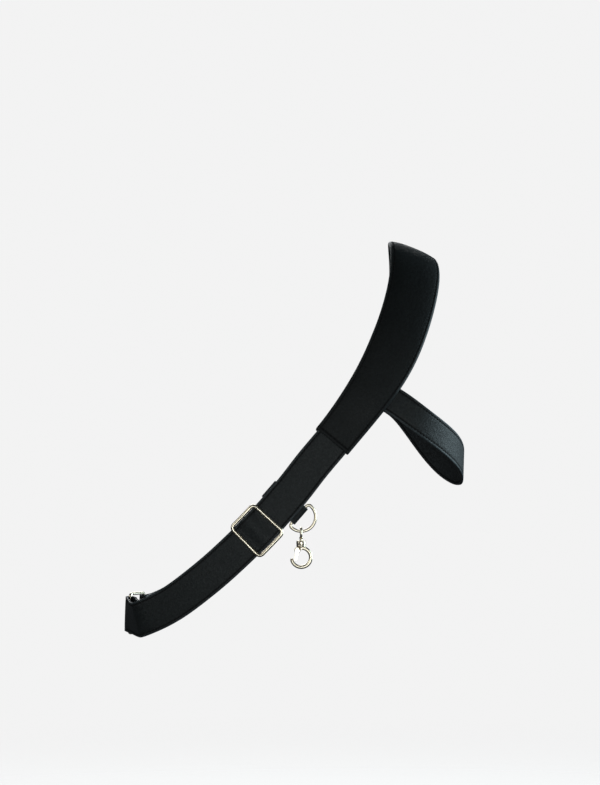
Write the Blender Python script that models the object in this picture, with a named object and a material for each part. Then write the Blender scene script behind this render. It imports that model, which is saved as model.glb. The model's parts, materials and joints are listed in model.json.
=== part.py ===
"""Single-shoulder leather harness for a saxophone, modelled as it is worn.

A padded shoulder piece sits on the right shoulder.  One strap leaves each end of it,
and the two meet in a ring at the left hip.  A narrower strap passes under the right
arm.  The back strap has a slider, and the front strap carries the instrument's hook.

Metres, +Z up, +X to the wearer's right, +Y to the wearer's front.  The origin is the
point of the shoulder that the pad rests on.
"""
import math

import bmesh
import bpy
import numpy as np
from mathutils import Matrix, Vector

MM = 0.001

# Driving dimensions
STRAP_WIDTH = 33 * MM
UNDERARM_WIDTH = 25 * MM
PAD_WIDTH = 47 * MM
PAD_END_WIDTH = 37.5 * MM
PAD_TAPER = 115 * MM
TUCK = 18 * MM
LEATHER = 1.0 * MM
GAP = 0.3 * MM
COVER = 1.2 * MM
FOAM_SWELL = 1.8 * MM
FOAM_EDGE_DROP = 0.9 * MM
HARDWARE_WIRE = 2.8 * MM

SLIDER_LENGTH = 33.5 * MM
SLIDER_WIRE = 3.4 * MM
SLIDER_CORNER = 4.0 * MM
SLIDER_BAR = 2.0 * MM
BAR_DEPTH = 3.75 * MM
TAIL_LEATHER = 0.9 * MM
TAIL_DEPTH = 7.5 * MM
TAIL_LAP = 24 * MM
RING_HEIGHT = 40 * MM
FOLD_LENGTH = 32 * MM
KEEPER_LENGTH = 20 * MM
KEEPER_REST = 38 * MM
D_RING_WIDTH = 28 * MM
D_RING_WIRE = 3.0 * MM
D_RING_OFFSET = 20.9 * MM
EYE_BOW = 4.6 * MM
EYE_WIRE = 2.4 * MM
HOOK_BOW = 9.4 * MM
HOOK_WIRE = 3.6 * MM

STEP = 5 * MM
STRAP_TOP = LEATHER + GAP / 2
WIRE_RADIUS = HARDWARE_WIRE / 2

# Where the strap's middle layer runs, and which way its face looks, both by hand, mm.
# The order is from the hip ring up the chest, over the shoulder and down the back.
FRONT_FOOT = [
    ((-255.5, 55.0, -338.5), (-0.88, 0.46, -0.12)),
    ((-245.0, 67.0, -338.0), (-0.62, 0.77, -0.16)),
    ((-227.0, 77.0, -331.0), (-0.40, 0.90, -0.16)),
]
FRONT_ARC = [(-203.0, 85.0, -315.0), (-146.0, 94.0, -262.0), (-95.0, 94.5, -203.0)]
FRONT_ARC_FACING = (-0.06, 0.99, -0.02)
SHOULDER = [
    ((-74.0, 93.0, -177.0), (-0.03, 1.0, 0.03)),
    ((-47.5, 91.0, -144.0), (0.0, 0.99, 0.10)),
    ((-21.5, 86.0, -105.0), (0.05, 0.97, 0.20)),
    ((-6.5, 76.0, -70.0), (0.08, 0.94, 0.32)),
    ((1.0, 64.0, -45.5), (0.12, 0.89, 0.44)),
    ((4.5, 47.0, -22.5), (0.20, 0.78, 0.60)),
    ((3.0, 26.0, -5.5), (0.30, 0.50, 0.80)),
    ((1.0, 0.0, 2.3), (0.37, 0.0, 0.93)),
    ((2.5, -26.0, -6.0), (0.30, -0.50, 0.80)),
    ((1.5, -46.0, -25.5), (0.17, -0.78, 0.60)),
    ((-4.0, -62.0, -50.0), (0.12, -0.89, 0.42)),
    ((-12.0, -75.0, -74.0), (0.08, -0.95, 0.30)),
    ((-27.5, -86.5, -107.5), (0.05, -0.98, 0.18)),
    ((-51.0, -94.0, -143.0), (0.0, -1.0, 0.09)),
    ((-75.0, -97.0, -173.5), (-0.02, -1.0, 0.03)),
]
BACK_ARC = [(-95.0, -98.5, -197.5), (-142.0, -98.5, -253.0), (-197.0, -89.0, -303.5)]
BACK_ARC_FACING = (-0.08, -1.0, -0.04)
BACK_FOOT = [
    ((-220.0, -82.0, -320.5), (-0.26, -0.95, -0.14)),
    ((-236.0, -76.5, -329.5), (-0.36, -0.91, -0.20)),
    ((-246.5, -72.0, -334.3), (-0.50, -0.83, -0.24)),
    ((-251.2, -66.8, -336.3), (-0.80, -0.54, -0.27)),
    ((-253.3, -58.5, -337.1), (-0.93, -0.26, -0.25)),
    ((-256.0, -40.0, -338.0), (-0.95, -0.10, -0.22)),
    ((-260.5, -10.0, -338.5), (-0.97, 0.10, -0.14)),
    ((-268.0, 31.0, -338.5), (-0.97, 0.20, -0.08)),
]
UNDERARM = [
    ((3.5, -89.5, -152.5), (0.25, -0.96, 0.05)),
    ((19.0, -81.0, -164.0), (0.42, -0.90, 0.02)),
    ((34.5, -64.0, -176.5), (0.66, -0.75, 0.0)),
    ((45.5, -33.0, -190.0), (0.92, -0.38, 0.0)),
    ((48.0, 0.0, -200.0), (1.0, 0.0, 0.0)),
    ((44.0, 32.0, -204.0), (0.90, 0.42, 0.0)),
    ((33.0, 57.0, -196.0), (0.66, 0.75, 0.0)),
    ((20.0, 74.0, -179.5), (0.42, 0.90, 0.02)),
    ((5.5, 84.5, -158.5), (0.25, 0.96, 0.05)),
]
BACK_JOINT = (-38.5, -91.0, -123.5)
FRONT_JOINT = (-34.0, 89.0, -125.0)


def clear_scene():
    for thing in list(bpy.data.objects):
        bpy.data.objects.remove(thing, do_unlink=True)


def finish_material(name, colour, roughness, metallic):
    material = bpy.data.materials.get(name)
    if material:
        return material
    material = bpy.data.materials.new(name)
    material.use_nodes = True
    shader = material.node_tree.nodes["Principled BSDF"]
    shader.inputs["Base Color"].default_value = (*colour, 1.0)
    shader.inputs["Roughness"].default_value = roughness
    shader.inputs["Metallic"].default_value = metallic
    material.diffuse_color = (*colour, 1.0)
    return material


def black_leather():
    return finish_material("black_leather", (0.018, 0.021, 0.022), 0.55, 0.0)


def lining_leather():
    return finish_material("lining_leather", (0.030, 0.030, 0.032), 0.80, 0.0)


def foam():
    return finish_material("foam", (0.10, 0.10, 0.11), 0.95, 0.0)


def pale_gold():
    return finish_material("pale_gold", (0.78, 0.66, 0.48), 0.22, 1.0)


def spring_steel():
    return finish_material("spring_steel", (0.55, 0.55, 0.56), 0.30, 1.0)


def unit(vector):
    vector = np.asarray(vector, float)
    return vector / np.linalg.norm(vector, axis=-1, keepdims=True)


def smooth_step(amount):
    amount = np.clip(amount, 0.0, 1.0)
    return amount * amount * (3.0 - 2.0 * amount)


def curve_through(knots, values):
    """A natural cubic spline through the values at the knots, as a function."""
    knots = np.asarray(knots, float)
    values = np.asarray(values, float)
    last = len(knots) - 1
    gaps = np.diff(knots)
    matrix = np.eye(last + 1)
    right_side = np.zeros(values.shape)
    for i in range(1, last):
        matrix[i, i - 1:i + 2] = gaps[i - 1], 2.0 * (gaps[i - 1] + gaps[i]), gaps[i]
        rise_after = (values[i + 1] - values[i]) / gaps[i]
        rise_before = (values[i] - values[i - 1]) / gaps[i - 1]
        right_side[i] = 6.0 * (rise_after - rise_before)
    bend = np.linalg.solve(matrix, right_side)

    def at(where):
        where = np.atleast_1d(where)
        i = np.clip(np.searchsorted(knots, where) - 1, 0, last - 1)
        gap = gaps[i][:, None]
        after = (where - knots[i])[:, None]
        before = gap - after
        curved = (bend[i] * before ** 3 + bend[i + 1] * after ** 3) / (6.0 * gap)
        start = (values[i] / gap - bend[i] * gap / 6.0) * before
        end = (values[i + 1] / gap - bend[i + 1] * gap / 6.0) * after
        return curved + start + end

    return at


class Arc:
    """The circle through three points, and a facing that turns with it.

    A piece that slides along this stretch of strap turns about the circle's axis.
    """

    def __init__(self, points, facing):
        first, middle, last = (np.array(point) * MM for point in points)
        to_first = first - middle
        to_last = last - middle
        normal = np.cross(to_first, to_last)
        offset = np.cross(to_first @ to_first * to_last - to_last @ to_last * to_first, normal)
        self.centre = middle + offset / (2.0 * normal @ normal)
        self.radius = np.linalg.norm(middle - self.centre)
        self.axis = unit(np.cross(first - self.centre, last - self.centre))
        self.middle = middle
        self.facing = unit(facing)
        self.start = -self.angle_to(first)
        self.end = self.angle_to(last)

    def angle_to(self, point):
        spoke = unit(self.middle - self.centre)
        cosine = spoke @ unit(point - self.centre)
        return math.acos(min(1.0, cosine))

    def turned(self, vector, angle):
        """The vector, turned about the axis by the right-hand rule."""
        along = self.axis * (self.axis @ vector)
        across = np.cross(self.axis, vector)
        return along + (vector - along) * math.cos(angle) + across * math.sin(angle)

    def stations(self, count=9):
        for angle in np.linspace(self.start, self.end, count):
            point = self.centre + self.turned(self.middle - self.centre, angle)
            yield tuple(point / MM), tuple(self.turned(self.facing, angle))


class Guide:
    """A route that a strap follows, with the directions along, across and out of it."""

    def __init__(self, stations):
        points = np.array([place for place, _ in stations]) * MM
        facings = unit([facing for _, facing in stations])
        knots = np.concatenate([[0.0], np.cumsum(np.linalg.norm(np.diff(points, axis=0), axis=1))])
        route = curve_through(knots, points)
        facing = curve_through(knots, facings)
        fine = np.linspace(0.0, knots[-1], 4000)
        self.places = route(fine)
        self.facings = unit(facing(fine))
        steps = np.linalg.norm(np.diff(self.places, axis=0), axis=1)
        self.lengths = np.concatenate([[0.0], np.cumsum(steps)])
        self.length = self.lengths[-1]
        self.tangents = unit(np.gradient(self.places, axis=0))

    def read(self, table, along):
        return np.array([np.interp(along, self.lengths, table[:, i]) for i in range(3)]).T

    def frames(self, along):
        """Places, and unit vectors along the route, across the strap and out of its face."""
        along = np.atleast_1d(along)
        clipped = np.clip(along, 0.0, self.length)
        tangent = unit(self.read(self.tangents, clipped))
        place = self.read(self.places, clipped) + tangent * (along - clipped)[:, None]
        across = unit(np.cross(self.read(self.facings, clipped), tangent))
        return place, tangent, across, np.cross(tangent, across)

    def nearest(self, point):
        distances = np.linalg.norm(self.places - np.asarray(point), axis=1)
        return self.lengths[int(np.argmin(distances))]

    def square_ends(self, ease):
        """Turn both ends until they lie across one common line, and give that line."""
        common = unit(np.cross(self.tangents[0], self.tangents[-1]))
        if common @ np.cross(self.facings[0], self.tangents[0]) < 0.0:
            common = -common
        from_end = np.minimum(self.lengths, self.length - self.lengths)
        share = smooth_step(1.0 - from_end / ease)[:, None]
        squared = np.cross(self.tangents, common)
        self.facings = unit(self.facings * (1.0 - share) + squared * share)
        return common


def pivot(name, place, axis, pieces, parent=None):
    """An empty on a joint's axis, its own Z along it, that carries the moving pieces."""
    empty = bpy.data.objects.new(name, None)
    empty.empty_display_size = 10 * MM
    bpy.context.scene.collection.objects.link(empty)
    turn = Vector(axis).to_track_quat("Z", "X").to_matrix().to_4x4()
    empty.matrix_basis = Matrix.Translation(Vector(place)) @ turn
    if parent:
        attach(empty, parent)
    bpy.context.view_layer.update()
    for piece in pieces:
        attach(piece, empty)
    return empty


def attach(thing, parent):
    """Parent without moving anything."""
    thing.parent = parent
    thing.matrix_parent_inverse = parent.matrix_world.inverted()


def add_object(name, mesh_data, material, smooth_angle=None):
    bmesh.ops.recalc_face_normals(mesh_data, faces=mesh_data.faces)
    mesh = bpy.data.meshes.new(name)
    mesh_data.to_mesh(mesh)
    mesh_data.free()
    mesh.materials.append(material)
    if smooth_angle:
        mesh.shade_smooth()
        mesh.set_sharp_from_angle(angle=math.radians(smooth_angle))
    thing = bpy.data.objects.new(name, mesh)
    bpy.context.scene.collection.objects.link(thing)
    return thing


def loft(name, sections, material, closed=False, smooth_angle=40):
    """A solid through a row of closed outlines with equally many points.

    Twisted bands have no flat faces, so each is split along the diagonal that leans
    towards the same edge, and layers that lie on each other bend alike.
    """
    mesh_data = bmesh.new()
    rings = [[mesh_data.verts.new(tuple(point)) for point in section] for section in sections]
    count = len(rings[0])
    pairs = list(zip(rings, rings[1:]))
    if closed:
        pairs.append((rings[-1], rings[0]))
    for ring, following in pairs:
        sideways = ring[1].co - ring[0].co
        for i in range(count):
            j = (i + 1) % count
            near, far, far_next, near_next = ring[i], ring[j], following[j], following[i]
            if (far_next.co - near.co).dot(sideways) < 0.0:
                near, far, far_next, near_next = far, far_next, near_next, near
            mesh_data.faces.new((near, far, far_next))
            mesh_data.faces.new((near, far_next, near_next))
    if not closed:
        mesh_data.faces.new(rings[0][::-1])
        mesh_data.faces.new(rings[-1])
    return add_object(name, mesh_data, material, smooth_angle)


def strap_layer(name, places, across, width, low, high, material, closed=False):
    """A band of leather between two heights over a row of places."""
    tangent = directions(places)
    out = unit(np.cross(tangent, across))
    across = unit(np.cross(out, tangent))
    half = across * width / 2.0
    sections = [
        [
            place - side + normal * low,
            place + side + normal * low,
            place + side + normal * high,
            place - side + normal * high,
        ]
        for place, side, normal in zip(places, half, out)
    ]
    return loft(name, sections, material, closed)


def directions(path, closed=False):
    """The direction at each point, halfway between its two neighbouring stretches."""
    if closed:
        stretches = unit(np.roll(path, -1, axis=0) - path)
        return unit(stretches + np.roll(stretches, 1, axis=0))
    stretches = unit(np.diff(path, axis=0))
    return unit(np.vstack([stretches[:1], stretches[1:] + stretches[:-1], stretches[-1:]]))


def positions(start, end, step=STEP):
    return np.linspace(start, end, max(2, int(abs(end - start) / step) + 1))


def strap(name, places, across, width):
    """Two layers of leather, back to back, that are sewn along both edges."""
    strap_layer(name + "_face", places, across, width, GAP / 2, STRAP_TOP, black_leather())
    strap_layer(name + "_lining", places, across, width, -STRAP_TOP, -GAP / 2, lining_leather())


def turn_about(centre, up, forward, radius):
    """Half a circle from above a bar, ahead of it and round to below it."""
    angles = np.radians(np.arange(15.0, 180.0, 15.0))
    return [centre + radius * (up * math.cos(a) + forward * math.sin(a)) for a in angles]


def folded_path(guide, start, bar, radius, inner_depth, return_end):
    """A strap's middle that runs to a bar, turns round it and comes back inside.

    The run ends over the bar.  The turn is half a circle about the bar, and the
    return eases from the turn's far side to a layer inner_depth under the run.
    """
    place, _, across, _ = guide.frames(positions(start, bar))
    top, ahead, side, up = (item[0] for item in guide.frames(bar))
    facing = 1.0 if bar > start else -1.0
    turn = turn_about(top - up * radius, up, ahead * facing, radius)
    back = positions(bar, return_end)
    back_place, _, back_across, back_out = guide.frames(back)
    ease = smooth_step(np.abs(back - bar) / (18 * MM))
    depth = 2.0 * radius + (inner_depth - 2.0 * radius) * ease
    back_place = back_place - back_out * depth[:, None]
    places = np.vstack([place, turn, back_place])
    sides = np.vstack([across, [side] * len(turn), back_across]) * facing
    return places, sides


def round_wire(name, path, normals, radius, material, closed, sides=8):
    """Round bar along a flat path, given the direction out of the path's plane."""
    path = np.asarray(path)
    tangent = directions(path, closed)
    normals = np.broadcast_to(normals, path.shape)
    inward = unit(np.cross(normals, tangent))
    angles = np.arange(sides) * math.tau / sides + math.pi / sides
    sections = [
        [place + radius * (math.cos(a) * side + math.sin(a) * normal) for a in angles]
        for place, side, normal in zip(path, inward, normals)
    ]
    return loft(name, sections, material, closed, smooth_angle=60)


def rounded_rectangle(width, height, corner, corner_steps=5):
    """Points of a rounded rectangle about its middle, anticlockwise."""
    points = []
    for turn, (sx, sy) in enumerate([(1, 1), (-1, 1), (-1, -1), (1, -1)]):
        for step in range(corner_steps + 1):
            angle = math.radians(90.0 * (turn + step / corner_steps))
            x = sx * (width / 2 - corner) + corner * math.cos(angle)
            y = sy * (height / 2 - corner) + corner * math.sin(angle)
            points.append((x, y))
    return points


def in_plane(points, origin, first, second):
    return [origin + first * x + second * y for x, y in points]


def pad_width(from_end):
    return PAD_END_WIDTH + (PAD_WIDTH - PAD_END_WIDTH) * smooth_step(from_end / PAD_TAPER)


def shoulder_pad(loop, start, end):
    """Cover, foam and lining of the pad, sewn round the ends of the three straps."""
    where = positions(start, end, 8.5 * MM)
    place, _, across, out = loop.frames(where)
    from_end = np.minimum(where - start, end - where)
    width = pad_width(from_end)
    swell = smooth_step((from_end - 16 * MM) / (40 * MM))

    def foam_top(i, v):
        edge = FOAM_EDGE_DROP * smooth_step((abs(v) - 0.55) / 0.45)
        return STRAP_TOP + swell[i] * (FOAM_SWELL * (1.0 - v ** 4) - edge)

    def layer(name, rows, low, high, material, shortened=0.0):
        """One layer between two heights; rows are places across it, from -1 to 1."""
        sections = [
            [place[i] + across[i] * width[i] / 2 * v + out[i] * high(i, v) for v in rows]
            + [place[i] + across[i] * width[i] / 2 * v + out[i] * low(i, v) for v in rows[::-1]]
            for i in range(len(where)) if from_end[i] >= shortened
        ]
        return loft(name, sections, material)

    middle_rows = (-0.6, -0.3, 0.0, 0.3, 0.6)
    edge_rows = (-1.0, -0.85) + middle_rows + (0.85, 1.0)
    cover_gap = lambda i, v: foam_top(i, v) + GAP
    layer("shoulder_pad_cover", edge_rows, cover_gap,
          lambda i, v: cover_gap(i, v) + COVER, black_leather())
    layer("shoulder_pad_lining", edge_rows, lambda i, v: -STRAP_TOP - GAP - LEATHER,
          lambda i, v: -STRAP_TOP - GAP, lining_leather())
    layer("shoulder_pad_foam", middle_rows, lambda i, v: -STRAP_TOP, foam_top, foam(), TUCK + 4 * MM)


def wire_frame(name, origin, first, second, width, height, corner):
    """A closed rounded rectangle of round wire, sized over the outside of the wire."""
    inner = rounded_rectangle(width - HARDWARE_WIRE, height - HARDWARE_WIRE, corner)
    path = in_plane(inner, origin, first, second)
    return round_wire(name, path, np.cross(first, second), WIRE_RADIUS, pale_gold(), closed=True)


def main_strap(loop, pad_start, pad_end, slider_at):
    """Front strap, back strap and the ring at the hip that both fold round."""
    ring_line = loop.square_ends(30 * MM)
    fold = WIRE_RADIUS + 2 * GAP + STRAP_TOP
    places, across = folded_path(loop, pad_start + TUCK, 0.0, fold, 2 * STRAP_TOP + GAP, FOLD_LENGTH)
    strap("front_strap", places, across, STRAP_WIDTH)
    places, across = folded_path(loop, pad_end - TUCK, loop.length, fold, TAIL_DEPTH, slider_at)
    strap("back_strap", places, across, STRAP_WIDTH)
    ends, _, _, out = loop.frames([0.0, loop.length])
    front_bar, back_bar = ends - out * fold
    between = back_bar - front_bar
    between = between - ring_line * (between @ ring_line)
    wire_frame("side_ring", (front_bar + back_bar) / 2, unit(between), ring_line,
               np.linalg.norm(between) + HARDWARE_WIRE, RING_HEIGHT, 3 * MM)


def back_slider(loop, at, arc):
    """Wire frame over the strap, its bar under the strap, and the tail sewn round the bar."""
    radius = SLIDER_WIRE / 2
    half_length = SLIDER_LENGTH / 2 - radius
    half_width = STRAP_WIDTH / 2 + GAP + radius
    height = STRAP_TOP + GAP + radius
    outline = rounded_rectangle(2 * half_length, 2 * half_width, SLIDER_CORNER)
    place, tangent, across, out = loop.frames([at + x for x, _ in outline])
    sides = np.array([y for _, y in outline])
    path = place + across * sides[:, None] + out * height
    frame = round_wire("back_slider_frame", path, out, radius, pale_gold(), closed=True)

    centre, ahead, side, up = (item[0] for item in loop.frames(at))
    bar_radius = SLIDER_BAR / 2
    reach = half_width
    top = STRAP_TOP
    bend = 2 * MM
    corner = [(math.sin(a), 1.0 - math.cos(a)) for a in np.radians(range(90, -1, -18))]
    right = [(reach - bend + bend * x, bend * y - BAR_DEPTH) for x, y in corner]
    half = [(reach, top)] + right
    profile = half + [(-x, y) for x, y in half[::-1]]
    path = [centre + side * x + up * y for x, y in profile]
    bar = round_wire("back_slider_bar", path, ahead, bar_radius, pale_gold(), closed=False)

    loop_radius = bar_radius + GAP + TAIL_LEATHER / 2
    lap = positions(at + TAIL_LAP, at, 3 * MM)
    place, _, across, out = loop.frames(lap)
    sewn = smooth_step((lap - at - 2 * MM) / (12 * MM))
    closed_gap = 2 * loop_radius - TAIL_LEATHER - GAP
    upper = place - out * (BAR_DEPTH - loop_radius + closed_gap * sewn)[:, None]
    lower = place - out * (BAR_DEPTH + loop_radius)
    turn = turn_about(centre - up * BAR_DEPTH, up, -ahead, loop_radius)
    places = np.vstack([upper, turn, lower[::-1]])
    sides = -np.vstack([across, [side] * len(turn), across[::-1]])
    tail = strap_layer("back_strap_tail_loop", places, sides, STRAP_WIDTH - 2 * MM,
                       -TAIL_LEATHER / 2, TAIL_LEATHER / 2, black_leather())
    pivot("back_slider_axis", arc.centre, arc.axis, [frame, bar, tail])


def hide_as_cutter(thing):
    thing.hide_render = True
    thing.display_type = "WIRE"


def combine(target, other, operation):
    """Join another shape to the target, or cut it away; the other shape stays hidden."""
    hide_as_cutter(other)
    modifier = target.modifiers.new(other.name, "BOOLEAN")
    modifier.operation = operation
    modifier.solver = "EXACT"
    modifier.object = other


def turned(name, profile, origin, axis, material, sides=20):
    """A solid turned about an axis, from (radius, distance along the axis) points."""
    axis = unit(axis)
    first = unit(np.cross(axis, (0.31, 0.95, 0.12)))
    second = np.cross(axis, first)
    angles = np.arange(sides) * math.tau / sides
    mesh_data = bmesh.new()
    rings = []
    for radius, along in profile:
        middle = origin + axis * along
        if radius == 0.0:
            rings.append([mesh_data.verts.new(tuple(middle))])
            continue
        rings.append([
            mesh_data.verts.new(tuple(middle + radius * (math.cos(a) * first + math.sin(a) * second)))
            for a in angles
        ])
    for ring, following in zip(rings, rings[1:]):
        for i in range(sides):
            j = (i + 1) % sides
            corners = [ring[i % len(ring)], ring[j % len(ring)],
                       following[j % len(following)], following[i % len(following)]]
            mesh_data.faces.new(list(dict.fromkeys(corners)))
    return add_object(name, mesh_data, material, smooth_angle=40)


def rod(name, start, end, radius, material, sides=16):
    axis = np.asarray(end) - np.asarray(start)
    length = np.linalg.norm(axis)
    profile = [(0.0, 0.0), (radius, 0.0), (radius, length), (0.0, length)]
    return turned(name, profile, np.asarray(start), axis, material, sides)


def hook_keeper(loop, at, arc):
    """Leather wrapped round the front strap and round the D-ring's straight side."""
    where = positions(at - KEEPER_LENGTH / 2, at + KEEPER_LENGTH / 2)
    place, _, across, out = loop.frames(where)

    def block(name, outline):
        sections = [
            [middle + side * v + up * h for v, h in outline]
            for middle, side, up in zip(place, across, out)
        ]
        return loft(name, sections, black_leather())

    half_strap = STRAP_WIDTH / 2 + 0.5 * MM
    half_height = STRAP_TOP + 0.4 * MM
    thick = 1.3 * MM
    bar = D_RING_OFFSET
    round_end = [
        (bar + (2.0 * MM + thick) * math.cos(a), (2.0 * MM + thick) * math.sin(a))
        for a in np.radians(range(-75, 76, 25))
    ]
    left = -half_strap - thick
    outer = half_height + thick
    outline = [(left, outer - 1 * MM), (left, 1 * MM - outer), (left + 1 * MM, -outer),
               (half_strap, -outer)] + round_end + [(half_strap, outer), (left + 1 * MM, outer)]
    keeper = block("hook_keeper", outline)
    middle, ahead, side, up = (item[0] for item in loop.frames(at))
    reach = KEEPER_LENGTH
    slot = [(-half_strap, -half_height), (half_strap, -half_height),
            (half_strap, half_height), (-half_strap, half_height)]
    longer = positions(at - reach, at + reach)
    rows = zip(*(loop.frames(longer)[i] for i in (0, 2, 3)))
    slot_cutter = loft("keeper_strap_slot",
                       [[p + s * v + u * h for v, h in slot] for p, s, u in rows], black_leather())
    combine(keeper, slot_cutter, "DIFFERENCE")
    centre = middle + side * bar
    bar_cutter = rod("keeper_bar_hole", centre - ahead * reach, centre + ahead * reach,
                     2.0 * MM, black_leather())
    combine(keeper, bar_cutter, "DIFFERENCE")
    pieces = [keeper, slot_cutter, bar_cutter]
    return centre, ahead, pivot("hook_keeper_axis", arc.centre, arc.axis, pieces)


def d_ring(centre, ahead, keeper_axis):
    """D-shaped ring that hangs from the keeper; gives the centre that its bow is round."""
    down = np.array([0.0, 0.0, -1.0])
    hang = unit(down - ahead * (ahead @ down))
    bow = D_RING_WIDTH / 2
    corner = 3 * MM
    inner = bow - corner
    points = [(x, 0.0) for x in np.linspace(-inner, inner, 5)]
    points += [(inner + corner * math.sin(a), corner * (1 - math.cos(a))) for a in np.radians([30, 60])]
    points += [(bow * math.cos(a), corner + bow * math.sin(a)) for a in np.radians(range(0, 181, 12))]
    points += [(-inner - corner * math.sin(a), corner * (1 - math.cos(a))) for a in np.radians([60, 30])]
    path = in_plane(points, centre, ahead, hang)
    normal = np.cross(ahead, hang)
    ring = round_wire("hook_d_ring", path, normal, D_RING_WIRE / 2, pale_gold(), closed=True)
    ring_axis = pivot("d_ring_axis", centre, ahead, [ring], keeper_axis)
    return centre + hang * corner, normal, ring_axis


def swivel_hook(bow_middle, normal, ring_axis):
    """Eye, hook and sprung gate, hanging plumb from the D-ring's bow.

    The eye slides round the bow, so it turns about the middle of the bow.
    """
    up = np.array([0.0, 0.0, 1.0])
    rest = bow_middle - up * D_RING_WIDTH / 2
    gold = pale_gold()
    side = unit(np.cross(up, normal))
    normal = unit(np.cross(side, up))

    eye_top = D_RING_WIRE / 2 + GAP + EYE_WIRE / 2
    eye_centre = rest + up * (eye_top - EYE_BOW)
    circle = [(EYE_BOW * math.cos(a), EYE_BOW * math.sin(a)) for a in np.radians(range(0, 360, 18))]
    eye = round_wire("hook_swivel_eye", in_plane(circle, eye_centre, normal, up),
                     side, EYE_WIRE / 2, gold, closed=True)
    neck_top = -EYE_BOW
    post = [(0.0, 0.3 * MM), (1.5 * MM, 0.3 * MM), (1.5 * MM, -5.0 * MM), (2.6 * MM, -5.0 * MM),
            (2.6 * MM, -6.2 * MM), (0.0, -6.2 * MM)]
    neck = turned("swivel_post", post, eye_centre + up * neck_top, up, gold)
    combine(eye, neck, "UNION")
    swivel_axis = pivot("swivel_axis", bow_middle, normal, [eye, neck], ring_axis)

    barrel_top = eye_centre + up * (neck_top - 2.6 * MM)
    barrel = [(0.0, -6.6 * MM), (4.0 * MM, -6.6 * MM), (4.7 * MM, -5.9 * MM), (4.7 * MM, -1.0 * MM),
              (3.9 * MM, 0.0), (1.9 * MM, 0.0), (1.9 * MM, -2.0 * MM), (3.1 * MM, -2.0 * MM),
              (3.1 * MM, -4.2 * MM), (0.0, -4.2 * MM)]
    body = turned("hook_body", barrel, barrel_top, up, gold)
    bow_centre = barrel_top - up * (7.2 * MM + HOOK_BOW)
    angles = np.radians(np.arange(90.0, 356.0, 10.0))
    bow_path = in_plane([(HOOK_BOW * math.cos(a), HOOK_BOW * math.sin(a)) for a in angles],
                        bow_centre, side, up)
    bow = round_wire("hook_bow", bow_path, normal, HOOK_WIRE / 2, gold, closed=False, sides=10)
    combine(body, bow, "UNION")

    def local(x, z, y=0.0):
        return bow_centre + side * x + up * z + normal * y

    hinge = (3.6 * MM, HOOK_BOW - 2.2 * MM)
    tip = (5.6 * MM, -2.2 * MM)
    lug_half = 0.7 * MM
    lug = rod("hook_lug", local(*hinge, -lug_half), local(*hinge, lug_half), 3.3 * MM, gold)
    combine(body, lug, "UNION")
    cheek = 2.7 * MM
    pin_radius = 0.7 * MM
    hole = rod("gate_pin_hole", local(*hinge, -2 * cheek), local(*hinge, 2 * cheek),
               pin_radius + GAP, gold, 12)
    combine(body, hole, "DIFFERENCE")

    gate_half = 1.25 * MM
    along = unit(np.array([tip[0] - hinge[0], tip[1] - hinge[1]]))
    sideways = np.array([-along[1], along[0]])
    rounded = [(math.cos(a), math.sin(a)) for a in np.radians(range(-90, 91, 30))]
    outline = [np.array(tip) + gate_half * (along * c + sideways * s) for c, s in rounded]
    outline += [np.array(hinge) + 1.9 * MM * (-along * c - sideways * s) for c, s in rounded]
    gate = loft("hook_gate", [[local(x, z, y) for x, z in outline] for y in (-cheek, cheek)], gold)
    reach = 4.0 * MM
    corners = [np.array(hinge) + along * a + sideways * b
               for a, b in ((-reach, -reach), (reach, -reach), (reach, reach), (-reach, reach))]
    slot_half = 1.7 * MM
    slot = loft("gate_slot", [[local(x, z, y) for x, z in corners] for y in (-slot_half, slot_half)],
                gold)
    combine(gate, slot, "DIFFERENCE")
    combine(gate, hole, "DIFFERENCE")
    pin = rod("hook_gate_pin", local(*hinge, -cheek), local(*hinge, cheek), pin_radius, gold, 12)

    coil_radius = 1.35 * MM
    turns = np.radians(range(0, 721, 24))
    climb = np.linspace(1.0 * MM, 1.45 * MM, len(turns))
    coil = [local(hinge[0] + coil_radius * math.cos(a), hinge[1] + coil_radius * math.sin(a), y)
            for a, y in zip(turns, climb)]
    spring = round_wire("hook_gate_spring", coil, normal, 0.1 * MM, spring_steel(),
                        closed=False, sides=6)
    hook_axis = pivot("hook_spin_axis", eye_centre, up, [body, bow, lug, hole, pin, spring],
                      swivel_axis)
    pivot("gate_axis", local(*hinge), normal, [gate, slot], hook_axis)


def underarm_strap(loop, pad_start, pad_end):
    """Narrower strap from the pad's back edge, under the arm, to its front edge.

    Its ends lie square to the pad.  Only the face goes in between cover and lining.
    """
    joints = [loop.nearest(np.array(joint) * MM) for joint in (BACK_JOINT, FRONT_JOINT)]
    from_end = min(joints[1] - pad_start, pad_end - joints[0])
    edge = pad_width(from_end) / 2
    first = 0.67 * edge
    sunk = -1.25 * MM
    ends = []
    for joint in joints:
        place, _, across, out = (item[0] for item in loop.frames(joint))
        ends.append([((place + across * reach + out * sunk) / MM, out)
                     for reach in (first, edge, edge + 6 * MM)])
    guide = Guide(ends[0] + UNDERARM + ends[1][::-1])
    place, _, across, _ = guide.frames(positions(0.0, guide.length))
    strap_layer("underarm_strap_face", place, across, UNDERARM_WIDTH, GAP / 2, STRAP_TOP,
                black_leather())
    tuck = edge - first + 2 * MM
    place, _, across, _ = guide.frames(positions(tuck, guide.length - tuck))
    strap_layer("underarm_strap_lining", place, across, UNDERARM_WIDTH, -STRAP_TOP, -GAP / 2,
                lining_leather())


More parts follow.
